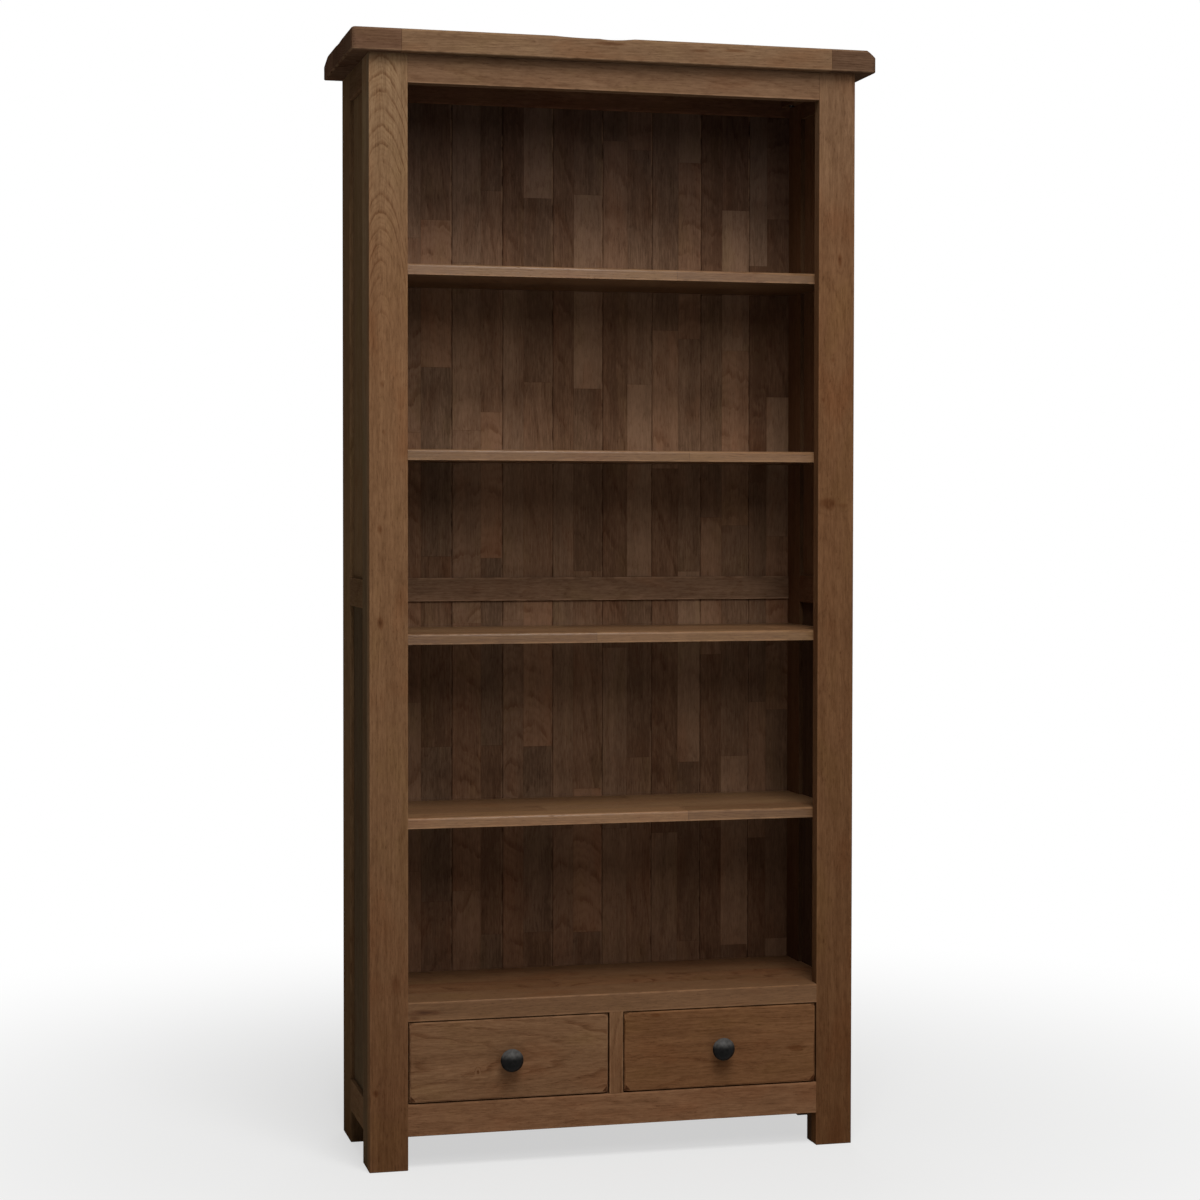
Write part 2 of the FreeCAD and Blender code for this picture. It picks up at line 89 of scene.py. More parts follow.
class Shader:
    """Short calls that add nodes to one tree and wire them together."""

    def __init__(self, tree):
        self.tree = tree

    def add(self, kind, inputs=None, **settings):
        """A node of that kind, its settings first and then its inputs, each a value or a socket."""
        node = self.tree.nodes.new(kind)
        for name, value in settings.items():
            setattr(node, name, value)
        for key, value in (inputs or {}).items():
            if isinstance(value, bpy.types.NodeSocket):
                self.tree.links.new(value, node.inputs[key])
            else:
                node.inputs[key].default_value = value
        return node

    def math(self, operation, *values, clamp=False):
        """Result of one Math node."""
        inputs = dict(enumerate(values))
        return self.add("ShaderNodeMath", inputs, operation=operation, use_clamp=clamp).outputs[0]

    def vector(self, x, y, z):
        """Vector from three numbers."""
        return self.add("ShaderNodeCombineXYZ", {0: x, 1: y, 2: z}).outputs[0]

    def split(self, vector):
        """The three numbers of a vector."""
        return list(self.add("ShaderNodeSeparateXYZ", {0: vector}).outputs)

    def noise(self, vector, detail, output="Fac"):
        """Smooth noise about 0.5, with features about one unit of the vector across."""
        inputs = {"Vector": vector, "Scale": 1.0, "Detail": detail, "Roughness": 0.5}
        return self.add("ShaderNodeTexNoise", inputs).outputs[output]

    def speckle(self, place, size, detail):
        """Noise at a place, given as three numbers, with features size metres across."""
        return self.noise(self.vector(*(self.math("DIVIDE", part, size) for part in place)), detail)

    def between(self, chance, low, high):
        """A chance from 0 to 1, laid out from low to high."""
        return self.math("MULTIPLY_ADD", chance, high - low, low)

    def ramp(self, value, low, high, to_low=0.0, to_high=1.0):
        """Soft step from to_low at low to to_high at high."""
        inputs = {"Value": value, "From Min": low, "From Max": high, "To Min": to_low, "To Max": to_high}
        return self.add("ShaderNodeMapRange", inputs, interpolation_type="SMOOTHSTEP").outputs[0]

    def mix(self, factor, first, second, blend="MIX"):
        """Blend of two colours."""
        inputs = {0: factor, 6: first, 7: second}
        return self.add("ShaderNodeMix", inputs, data_type="RGBA", blend_type=blend).outputs[2]

    def dim(self, colour, amount, shade):
        """Colour multiplied by a shade, three numbers, as far as amount says."""
        return self.mix(amount, colour, shade + (1.0,), "MULTIPLY")


def new_material(name):
    """Empty material with its node tree and output node."""
    material = bpy.data.materials.new(name)
    material.use_nodes = True
    material.node_tree.nodes.clear()
    return material, Shader(material.node_tree)


def finish_surface(shader, colour, roughness, height, relief, **constants):
    """Principled shader with its bump, wired to the material's output."""
    bump = shader.add("ShaderNodeBump", {"Height": height, "Distance": relief, "Strength": 1.0})
    inputs = {"Base Color": colour, "Roughness": roughness, "Normal": bump.outputs[0]}
    inputs.update({name.replace("_", " "): value for name, value in constants.items()})
    surface = shader.add("ShaderNodeBsdfPrincipled", inputs)
    shader.add("ShaderNodeOutputMaterial", {"Surface": surface.outputs[0]})


# ---- oak -------------------------------------------------------------------------------------------

RING_WIDTH = 0.0042
VEIN_WIDTH = 0.0013
VEIN_DARKNESS = 0.35
RING_WANDER = 0.0052
RING_RIPPLE = 0.0016
SEED_STEP = 3.7

# How far the grain's features reach across it and along it, in metres.
WANDER_SIZE = (0.045, 0.16)
RIPPLE_SIZE = (0.008, 0.05)
PATCHY_SIZE = (0.02, 0.06)
STREAK_SIZE = (0.014, 0.30)
CLOUD_SIZE = (0.022, 0.06)
FINE_SIZE = (0.0019, 0.036)
MOTTLE_SIZE = (0.0035, 0.014)
PORE_SIZE = (0.0007, 0.011)
FLECK_SIZE = (0.0026, 0.010)
STAIN_SIZE = (0.07, 0.16)

# What each mark in the wood multiplies its colour by.
RED_STAIN = (0.93, 0.80, 0.73)
YELLOW_STAIN = (0.97, 1.0, 0.90)
RING_SHADE = (0.48, 0.35, 0.28)
PORE_SHADE = (0.42, 0.32, 0.27)
FLECK_SHADE = (0.6, 0.52, 0.48)
KNOT_HALO = (0.60, 0.45, 0.36)
KNOT_HEART = (0.30, 0.22, 0.18)
GLUE_SHADE = (0.35, 0.28, 0.24)
WARM_STAVE = (0.96, 0.80, 0.72)
COOL_STAVE = (0.76, 0.88, 0.98)
END_GRAIN_SHADE = (0.62, 0.52, 0.46)

OAK_INPUTS = (
    "Across", "Through", "Along", "Pith Across", "Pith Depth", "Lean", "Start", "Wander", "Seed", "Tone",
    "Figure", "Warp", "Knot")


def make_oak_group():
    """Node group that draws oak round a pith line: growth rings, streaks, pores, stain and knots.

    Across, Through and Along place a point in metres, with Along on the grain. The pith line passes
    Pith Across and Pith Depth from the middle of the board, and leans by Lean where Along is past Start.
    """
    group = bpy.data.node_groups.new("oak", "ShaderNodeTree")
    for name in OAK_INPUTS:
        group.interface.new_socket(name=name, in_out="INPUT", socket_type="NodeSocketFloat")
    for name in ("Light", "Dark"):
        group.interface.new_socket(name=name, in_out="INPUT", socket_type="NodeSocketColor")
    group.interface.new_socket(name="Color", in_out="OUTPUT", socket_type="NodeSocketColor")
    for name in ("Roughness", "Height"):
        group.interface.new_socket(name=name, in_out="OUTPUT", socket_type="NodeSocketFloat")
    s = Shader(group)
    given = s.add("NodeGroupInput").outputs
    across, through, along, seed = (given[name] for name in ("Across", "Through", "Along", "Seed"))
    shifted = s.math("ADD", along, s.math("MULTIPLY", seed, SEED_STEP))

    def grain(size, detail=2.0, output="Fac"):
        """Noise with features of that size across the grain and along it."""
        sizes = ((across, size[0]), (through, size[0]), (shifted, size[1]))
        place = s.vector(*(s.math("DIVIDE", part, reach) for part, reach in sizes))
        return s.noise(place, detail, output=output)

    # growth rings
    wander = s.split(grain(WANDER_SIZE, output="Color"))
    stray = s.math("MULTIPLY", given["Wander"], RING_WANDER)
    side = s.math("SUBTRACT", across, given["Pith Across"])
    side = s.math("MULTIPLY_ADD", s.math("SUBTRACT", wander[0], 0.5), s.math("MULTIPLY", stray, 2.4), side)
    past = s.math("MAXIMUM", s.math("SUBTRACT", along, given["Start"]), 0.0)
    depth = s.math("MULTIPLY_ADD", given["Lean"], past, s.math("ADD", through, given["Pith Depth"]))
    depth = s.math("MULTIPLY_ADD", wander[1], stray, depth)
    radius = s.math("SQRT", s.math("ADD", s.math("MULTIPLY", side, side), s.math("MULTIPLY", depth, depth)))
    radius = s.math("ADD", radius, given["Warp"])
    radius = s.math("MULTIPLY_ADD", grain(RIPPLE_SIZE), RING_RIPPLE, radius)
    ring = s.math("FRACT", s.math("DIVIDE", radius, RING_WIDTH))
    early = s.math("MULTIPLY", s.ramp(ring, 0.0, 0.07), s.ramp(ring, 0.40, 0.08))
    vein = s.math("FRACT", s.math("DIVIDE", radius, VEIN_WIDTH))
    vein = s.math("MULTIPLY", s.ramp(vein, 0.0, 0.2), s.ramp(vein, 0.65, 0.25))
    lines = s.math("MAXIMUM", early, s.math("MULTIPLY", vein, VEIN_DARKNESS))
    patchy = s.ramp(grain(PATCHY_SIZE), 0.36, 0.62, 0.10, 1.0)
    rings = s.math("MULTIPLY", s.math("MULTIPLY", lines, patchy), given["Figure"])

    # streaks, fine grain, pores and flecks; pores lie thickest in the early wood
    streak = grain(STREAK_SIZE, 3.0)
    cloud = grain(CLOUD_SIZE)
    fine = grain(FINE_SIZE, 3.0)
    mottle = grain(MOTTLE_SIZE)
    pore = s.ramp(grain(PORE_SIZE, 1.0), 0.60, 0.74)
    pore = s.math("MULTIPLY", pore, s.between(early, 0.4, 1.0))
    fleck = s.ramp(grain(FLECK_SIZE, 1.0), 0.62, 0.76)

    tone = 0.5
    for noise, weight in ((streak, 0.8), (cloud, 0.6), (fine, 1.0), (mottle, 0.75)):
        tone = s.math("MULTIPLY_ADD", s.math("SUBTRACT", noise, 0.5), weight, tone)
    tone = s.math("ADD", tone, given["Tone"], clamp=True)
    colour = s.mix(tone, given["Dark"], given["Light"])

    # redder and yellower patches of stain, then the marks of the grain
    patch = grain(STAIN_SIZE, 3.0)
    colour = s.dim(colour, s.ramp(patch, 0.5, 0.72, 0.0, 0.7), RED_STAIN)
    colour = s.dim(colour, s.ramp(patch, 0.48, 0.28, 0.0, 0.7), YELLOW_STAIN)
    colour = s.dim(colour, s.math("MULTIPLY", rings, 0.55), RING_SHADE)
    colour = s.dim(colour, s.math("MULTIPLY", pore, 0.5), PORE_SHADE)
    colour = s.dim(colour, s.math("MULTIPLY", fleck, 0.4), FLECK_SHADE)

    # knots: a dark heart in a softer dark halo
    knot = given["Knot"]
    colour = s.dim(colour, s.ramp(knot, 0.05, 0.55, 0.0, 0.7), KNOT_HALO)
    colour = s.dim(colour, s.ramp(knot, 0.55, 0.95, 0.0, 0.9), KNOT_HEART)

    # rings, pores and knots lie lower than the wood between them, and pores are rougher
    roughness = s.math("MULTIPLY_ADD", fine, 0.14, 0.40)
    roughness = s.math("MULTIPLY_ADD", pore, 0.18, roughness)
    height = s.math("MULTIPLY_ADD", rings, -0.35, s.math("MULTIPLY", fine, 0.6))
    height = s.math("MULTIPLY_ADD", pore, -0.8, height)
    height = s.math("MULTIPLY_ADD", s.ramp(knot, 0.5, 1.0), -0.8, height)
    s.add("NodeGroupOutput", {"Color": colour, "Roughness": roughness, "Height": height})
    return group


OAK = make_oak_group()
OAK_RELIEF = 0.00035

# Axes that are across a board's grain, through its thickness and along its grain.
ON_EDGE_X = (2, 1, 0)
FLAT_X = (1, 2, 0)
ON_EDGE_Y = (2, 0, 1)
UPRIGHT = (0, 1, 2)


class Knot:
    """A knot at a point of a face: its radius in metres, its stretch along the grain, its strength."""

    def __init__(self, place, radius, stretch, strength):
        self.place = Vector(place)
        self.radius = radius
        self.stretch = stretch
        self.strength = strength


KNOT_DEPTH = 2.5
KNOT_RAGGEDNESS = 0.9
KNOT_SWELL = RING_WIDTH * 1.2


def knot_fields(s, across, along, through, knots, axes):
    """Warp of the rings round the knots, and how dark each point is."""
    warp = dark = 0.0
    for knot in knots:
        middle = [knot.place[axis] for axis in axes]
        side = s.math("DIVIDE", s.math("SUBTRACT", across, middle[0]), knot.radius)
        deep = s.math("DIVIDE", s.math("SUBTRACT", through, middle[1]), knot.radius * KNOT_DEPTH)
        ahead = s.math("DIVIDE", s.math("SUBTRACT", along, middle[2]), knot.radius * knot.stretch)
        spot = s.vector(side, deep, ahead)
        ragged = s.between(s.noise(spot, 3.0), -KNOT_RAGGEDNESS / 2, KNOT_RAGGEDNESS / 2)
        away = s.add("ShaderNodeVectorMath", {0: spot}, operation="LENGTH").outputs[1]
        away = s.math("ADD", away, ragged)
        mask = s.math("MULTIPLY", s.ramp(away, 1.5, 0.1), knot.strength)
        swell = s.math("MULTIPLY", s.ramp(away, 3.2, 0.0), KNOT_SWELL)
        dark = s.math("MAXIMUM", dark, mask)
        warp = s.math("ADD", warp, swell)
    return warp, dark


def edge_distance(s, place, box):
    """Distance from a point on the box to the nearest of its edges."""
    gaps = []
    for axis in range(3):
        low = s.math("SUBTRACT", place[axis], box[0][axis])
        high = s.math("SUBTRACT", box[1][axis], place[axis])
        gaps.append(s.math("ABSOLUTE", s.math("MINIMUM", low, high)))
    near = s.math("MINIMUM", gaps[0], gaps[1])
    far = s.math("MAXIMUM", gaps[0], gaps[1])
    return s.math("MAXIMUM", near, s.math("MINIMUM", far, gaps[2]))


LANE_SHIFT = 13.37
GLUE_WIDTH = 0.0009
GLUE_CORE = 0.0002
BRINK_CORE_SHARE = 0.3


class Staves:
    """How a board is glued up from staves: the seams across it and the butt joints along it.

    joint is the place of one butt joint in the first stave, ragged is how uneven their lengths are, and
    glue is how dark the seams and butt joints are. brink is the width of the dark lines along the
    outermost seams, and the last argument how dark those are: a dark joint with painted shade in its
    groove.
    """

    def __init__(self, seams, length, contrast, ragged=0.9, joint=0.0, glue=1.0, brink=GLUE_WIDTH,
                 joint_and_groove_shade=1.0):
        self.seams = seams
        self.length = length
        self.contrast = contrast
        self.ragged = ragged
        self.phase = 0.5 - joint / length - LANE_SHIFT
        self.glue = glue
        self.brink = brink
        self.joint_and_groove_shade = joint_and_groove_shade


def stave_fields(s, across, along, staves, seed):
    """Middle of the stave that a point is in, the stave's three chances, and the glue line's mask."""
    number = middle = last = 0.0
    glue = 1.0
    for left, right in zip(staves.seams, staves.seams[1:]):
        beyond = s.math("GREATER_THAN", across, left)
        number = s.math("ADD", number, beyond)
        middle = s.math("MULTIPLY_ADD", beyond, (left + right) / 2 - last, middle)
        last = (left + right) / 2
        glue = s.math("MINIMUM", glue, s.math("ABSOLUTE", s.math("SUBTRACT", across, left)))
    lane = s.math("MULTIPLY_ADD", number, LANE_SHIFT, staves.phase)
    spot = s.math("ADD", s.math("DIVIDE", along, staves.length), lane)
    cells = {"W": s.math("ADD", spot, float(seed)), "Scale": 1.0, "Randomness": staves.ragged}
    cell = s.add("ShaderNodeTexVoronoi", cells, voronoi_dimensions="1D")
    chances = s.split(s.add("ShaderNodeTexWhiteNoise", {"Vector": cell.outputs["Color"]}).outputs["Color"])
    ends = s.add("ShaderNodeTexVoronoi", cells, voronoi_dimensions="1D", feature="DISTANCE_TO_EDGE")
    butt = s.math("MULTIPLY", ends.outputs["Distance"], staves.length)
    line = s.ramp(s.math("MINIMUM", glue, butt), GLUE_WIDTH, GLUE_CORE, 0.0, staves.glue)
    # the outermost seams get a wider dark line: the joint, plus painted shade in the V-groove
    for seam in (staves.seams[0], staves.seams[-1]):
        away = s.math("ABSOLUTE", s.math("SUBTRACT", across, seam))
        core = staves.brink * BRINK_CORE_SHARE
        line = s.math("MAXIMUM", line, s.ramp(away, staves.brink, core, 0.0, staves.joint_and_groove_shade))
    return middle, chances, line


class Finish:
    """Two colours of a stained oak in linear light, and its specular level and added roughness."""

    def __init__(self, light, dark, specular, matt=0.0):
        self.light = light
        self.dark = dark
        self.specular = specular
        self.matt = matt


FACE = Finish((0.192, 0.100, 0.0505), (0.104, 0.049, 0.023), 0.0)
SIDE = Finish((0.185, 0.105, 0.055), (0.105, 0.055, 0.027), 0.0, matt=0.3)
SHELF = Finish((0.168, 0.090, 0.042), (0.100, 0.049, 0.021), 0.3, matt=-0.05)
DECK = Finish((0.183, 0.092, 0.043), (0.107, 0.050, 0.0215), 0.12)
INSIDE = Finish((0.262, 0.153, 0.091), (0.122, 0.067, 0.039), 0.0, matt=0.1)
RAW = Finish((0.300, 0.190, 0.100), (0.190, 0.110, 0.055), 0.10)
WHOLE_LENGTH = -9.0


class Patch:
    """A part of a piece between two places along one axis that is stained another shade."""

    def __init__(self, axis, low, high, shade):
        self.axis = axis
        self.low = low
        self.high = high
        self.shade = shade


class Facet:
    """The faces of a piece that are turned one way, and the shade painted on them: painted light and shade,
    partly stain on the drawer chips.
    """

    def __init__(self, direction, shade):
        self.direction = Vector(direction).normalized()
        self.shade = shade


class Look:
    """What is particular to one piece of oak: finish, shade, pith line, figure, knots, staves, patches.

    foot is painted shade at the foot and crown painted light at the top, painted shade where it is below
    one as on the back boards, each fading out over its share of the height. Without a pith line or a lean,
    the seed draws them. calm gives the two places along the grain between which the figure grows to its
    full strength, facets the painted light and shade of the faces that are turned some way, partly stain on
    the drawers' chipped corners, and the last argument how far the arrises are made paler, partly as rubbed
    wear and partly as a painted highlight.
    """

    def __init__(self, axes, finish=FACE, shade=(1.0, 1.0, 1.0), foot=None, foot_share=0.5, crown=None,
                 crown_share=0.25, pith=None, lean=None, start=WHOLE_LENGTH, figure=0.5, wander=1.0,
                 staves=None, knots=(), patches=(), calm=None, facets=(), rub_and_sheen=0.5):
        self.axes = axes
        self.finish = finish
        self.shade = shade
        self.foot = foot
        self.foot_share = foot_share
        self.crown = crown
        self.crown_share = crown_share
        self.pith = pith
        self.lean = lean
        self.start = start
        self.figure = figure
        self.wander = wander
        self.staves = staves
        self.knots = knots
        self.patches = patches
        self.calm = calm
        self.facets = facets
        self.rub_and_sheen = rub_and_sheen

    def colour(self, colour, factor=1.0):
        """One of the finish's colours in this piece's shade, as RGBA."""
        return tuple(min(1.0, part * shade * factor) for part, shade in zip(colour, self.shade)) + (1.0,)


# Where the chances put the pith line, and what they do to the figure of a stave: lowest and highest.
BOARD_PITH_SIDES = (-0.05, 0.05)
BOARD_PITH_DEPTHS = (0.03, 0.09)
BOARD_LEANS = (-0.05, 0.05)
STAVE_PITH_SIDES = (-0.045, 0.045)
STAVE_PITH_DEPTHS = (0.02, 0.09)
STAVE_LEANS = (-0.08, 0.08)
STAVE_FIGURES = (0.4, 1.6)
STAVE_WANDERS = (0.4, 2.0)

# How far apart the seeds of a piece's staves lie, and the share of the figure left where it is calm.
STAVE_SEEDS = 9.0
CALM_FIGURE = 0.25

# From where to where a stave's chance makes it warm or cool, and a face's turn an end or a facet.
WARM_RANGE = (0.4, 0.9)
COOL_RANGE = (0.5, 0.9)
END_RANGE = (0.6, 0.9)
FACET_RANGE = (0.93, 0.96)

GLUE_STRENGTH = 0.6
END_STRENGTH = 0.7
END_ROUGHER = 0.2
# How far from the arrises, how patchy and how much paler their rubbed wear and painted highlight are.
RUB_AND_SHEEN_REACH = (0.0042, 0.0008)
RUB_AND_SHEEN_SPOTS = 0.03
RUB_AND_SHEEN_PALER = 1.35


def make_oak(name, node, look, seed):
    """Oak material for one piece: grain, staves, patches, painted light and shade at foot, top and facets,
    end grain and paler arrises.
    """
    material, s = new_material(name)
    axes = look.axes
    coordinates = s.add("ShaderNodeTexCoord").outputs
    place = s.split(coordinates["Object"])
    low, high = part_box(node)
    middle = (low + high) / 2
    across, through, along = (place[axis] for axis in axes)
    warp, dark = knot_fields(s, across, along, through, look.knots, axes)
    inputs = {
        "Through": s.math("SUBTRACT", through, middle[axes[1]]),
        "Along": s.math("SUBTRACT", along, middle[axes[2]]),
        "Warp": warp, "Knot": dark, "Start": look.start,
        "Light": look.colour(look.finish.light), "Dark": look.colour(look.finish.dark),
    }
    if look.staves:
        centre, chances, line = stave_fields(s, across, along, look.staves, seed)
        contrast = look.staves.contrast
        inputs.update({
            "Across": s.math("SUBTRACT", across, centre),
            "Pith Across": s.between(chances[0], *STAVE_PITH_SIDES),
            "Pith Depth": s.between(chances[1], *STAVE_PITH_DEPTHS),
            "Lean": s.between(chances[2], *STAVE_LEANS),
            "Seed": s.between(chances[0], float(seed), seed + STAVE_SEEDS),
            "Tone": s.between(chances[1], -contrast, contrast),
            "Figure": s.math("MULTIPLY", s.between(chances[2], *STAVE_FIGURES), look.figure),
            "Wander": s.math("MULTIPLY", s.between(chances[0], *STAVE_WANDERS), look.wander)})
    else:
        chance = random.Random(seed)
        pith = look.pith or (chance.uniform(*BOARD_PITH_SIDES), chance.uniform(*BOARD_PITH_DEPTHS))
        lean = chance.uniform(*BOARD_LEANS) if look.lean is None else look.lean
        inputs.update({
            "Across": s.math("SUBTRACT", across, middle[axes[0]]), "Pith Across": pith[0],
            "Pith Depth": pith[1], "Lean": lean, "Seed": float(seed), "Tone": 0.0, "Figure": look.figure,
            "Wander": look.wander})
    if look.calm:
        inputs["Figure"] = s.ramp(along, *look.calm, look.figure * CALM_FIGURE, look.figure)
    colour, roughness, height = s.add("ShaderNodeGroup", inputs, node_tree=OAK).outputs

    if look.staves:
        warm = s.math("MULTIPLY", s.ramp(chances[2], *WARM_RANGE), contrast)
        colour = s.dim(colour, warm, WARM_STAVE)
        cool = s.math("MULTIPLY", s.ramp(chances[0], *COOL_RANGE), contrast)
        colour = s.dim(colour, cool, COOL_STAVE)
        colour = s.dim(colour, s.math("MULTIPLY", line, GLUE_STRENGTH), GLUE_SHADE)

    for patch in look.patches:
        inside = s.math("MULTIPLY", s.math("GREATER_THAN", place[patch.axis], patch.low),
                        s.math("LESS_THAN", place[patch.axis], patch.high))
        colour = s.dim(colour, inside, patch.shade)

    # painted light and shade along the height: painted shade at the foot, painted light at the top (painted
    # shade on the back boards)
    if look.foot:
        start = low.z + (high.z - low.z) * look.foot_share
        colour = s.dim(colour, s.ramp(place[2], start, low.z), look.foot)
    if look.crown:
        start = high.z - (high.z - low.z) * look.crown_share
        colour = s.dim(colour, s.ramp(place[2], start, high.z), look.crown)

    # end grain drinks more stain, and the facets take their own shades: painted light and shade, partly
    # stain on the drawer chips
    facing = s.split(coordinates["Normal"])[axes[2]]
    end = s.ramp(s.math("ABSOLUTE", facing), *END_RANGE)
    colour = s.dim(colour, s.math("MULTIPLY", end, END_STRENGTH), END_GRAIN_SHADE)
    for facet in look.facets:
        turned_to = {0: coordinates["Normal"], 1: facet.direction}
        likeness = s.add("ShaderNodeVectorMath", turned_to, operation="DOT_PRODUCT").outputs["Value"]
        colour = s.dim(colour, s.ramp(likeness, *FACET_RANGE), facet.shade)

    # arrises are made paler here and there, partly rubbed wear and partly a painted highlight
    rubbed_and_highlit = s.ramp(edge_distance(s, place, (low, high)), *RUB_AND_SHEEN_REACH)
    spotty = s.ramp(s.speckle(place, RUB_AND_SHEEN_SPOTS, 3.0), 0.35, 0.6)
    rubbed_and_highlit = s.math("MULTIPLY", rubbed_and_highlit, s.math("MULTIPLY", spotty, look.rub_and_sheen))
    colour = s.mix(rubbed_and_highlit, colour, look.colour(look.finish.light, RUB_AND_SHEEN_PALER))
    roughness = s.math("MULTIPLY_ADD", end, END_ROUGHER, s.math("ADD", roughness, look.finish.matt))
    finish_surface(s, colour, roughness, height, OAK_RELIEF, Specular_IOR_Level=look.finish.specular)
    return material


def dress(node, material):
    """Give a CAD node its finish."""
    piece = nodes[node]
    if not piece.material_slots:
        piece.data.materials.append(material)
    for slot in piece.material_slots:
        slot.material = material


# ---- pieces ----------------------------------------------------------------------------------------

ARRIS_WIDTH = 0.0008
ARRIS_SEGMENTS = 2
ARRIS_ANGLE = math.radians(35)
WELD_DISTANCE = 0.00001


def soften(node):
    """Ease a node's sharp arrises without touching its mesh."""
    piece = nodes[node]
    weld = piece.modifiers.new("weld", "WELD")
    weld.merge_threshold = WELD_DISTANCE
    bevel = piece.modifiers.new("arris", "BEVEL")
    bevel.width = ARRIS_WIDTH
    bevel.segments = ARRIS_SEGMENTS
    bevel.limit_method = "ANGLE"
    bevel.angle_limit = ARRIS_ANGLE
    bevel.harden_normals = True


FACE_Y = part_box("front_stile_left")[0].y
SHELVES = 4
# Painted light on the shelves: how much paler each shelf is than the one above it.
SHELF_PAINTED_LIGHT = 0.12
FLAT_CONTRAST = 0.28
SEAM_SPARE = 0.01

# Where the top board's middle staves meet those of its ends, along X.
TOP_JOINTS = (-0.3732, 0.3758)

# The lower corners of the drawer fronts, knocked off at a slant that runs this far along X, Y and Z;
# their down-turned facets are darker, partly stain on the cut grain and partly painted shade.
CHIP_RUN = Vector((13.0, 5.0, 15.0))
CHIPPED = [Facet((side / CHIP_RUN.x, -1 / CHIP_RUN.y, -1 / CHIP_RUN.z), (0.50, 0.40, 0.37))
           for side in (-1, 1)]


def on_face(x, z):
    """Point on the front of the face frame."""
    return (x, FACE_Y, z)


def shelf_staves(node, widths, length, joint, ragged=0.25):
    """Staves of a board that lies flat, from its front edge to its back."""
    low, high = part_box(node)
    seams = [low.y - SEAM_SPARE, *(low.y + width for width in widths), high.y + SEAM_SPARE]
    return Staves(seams, length, FLAT_CONTRAST, ragged, joint)


def back_staves(node, chance):
    """Two staves side by side in one back board."""
    low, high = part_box(node)
    share = chance.uniform(0.40, 0.60)
    seams = [low.x, low.x + (high.x - low.x) * share, high.x]
    # The board's edges get dark lines: the joint, plus painted shade in the V-groove between boards.
    return Staves(seams, length=0.34, contrast=0.42, glue=0.4, brink=0.0028, joint_and_groove_shade=1.45)


def stile_knots(side):
    """Knots and stains on one front stile."""
    if side == "left":
        return (
            Knot(on_face(-0.406, 0.919), 0.0055, 2.2, 0.75), Knot(on_face(-0.407, 1.075), 0.005, 2.0, 0.5),
            Knot(on_face(-0.403, 1.316), 0.004, 2.0, 0.4), Knot(on_face(-0.400, 1.236), 0.004, 1.6, 0.35),
            Knot(on_face(-0.415, 0.133), 0.005, 1.4, 0.7), Knot(on_face(-0.381, 0.314), 0.009, 2.6, 0.4))
    return (
        Knot(on_face(0.378, 1.119), 0.017, 0.75, 0.6), Knot(on_face(0.405, 1.116), 0.013, 0.5, 0.35),
        Knot(on_face(0.398, 1.541), 0.004, 3.2, 0.7),
        Knot(on_face(0.369, 1.299), 0.004, 1.6, 0.4), Knot(on_face(0.386, 1.368), 0.004, 1.6, 0.4))


